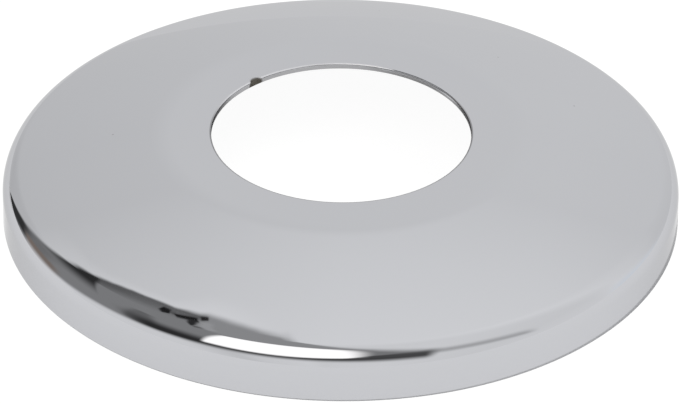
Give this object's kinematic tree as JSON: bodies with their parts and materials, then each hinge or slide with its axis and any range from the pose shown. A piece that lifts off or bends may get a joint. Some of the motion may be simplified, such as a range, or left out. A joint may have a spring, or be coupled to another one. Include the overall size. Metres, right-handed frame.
{
  "type": "tap rosette",
  "caption": "Round chromed cover rosette pressed from one sheet: flat collar round a bore, shallow crowned slope, rounded shoulder and straight skirt that meets the wall.",
  "frame": {"origin": "on the bore's axis, in the plane of the skirt's foot, which is the wall's face", "axes": "+Z along the bore's axis, away from the wall; +X to the right and +Y away from the viewer in the picture"},
  "size_m": [0.06, 0.06, 0.0084],
  "materials": {
    "chrome": "bright chrome plate, mirror polished, with a small dark nick at the bore"
  },
  "bodies": {
    "root": {"rosette": "chrome"}
  },
  "joints": []
}
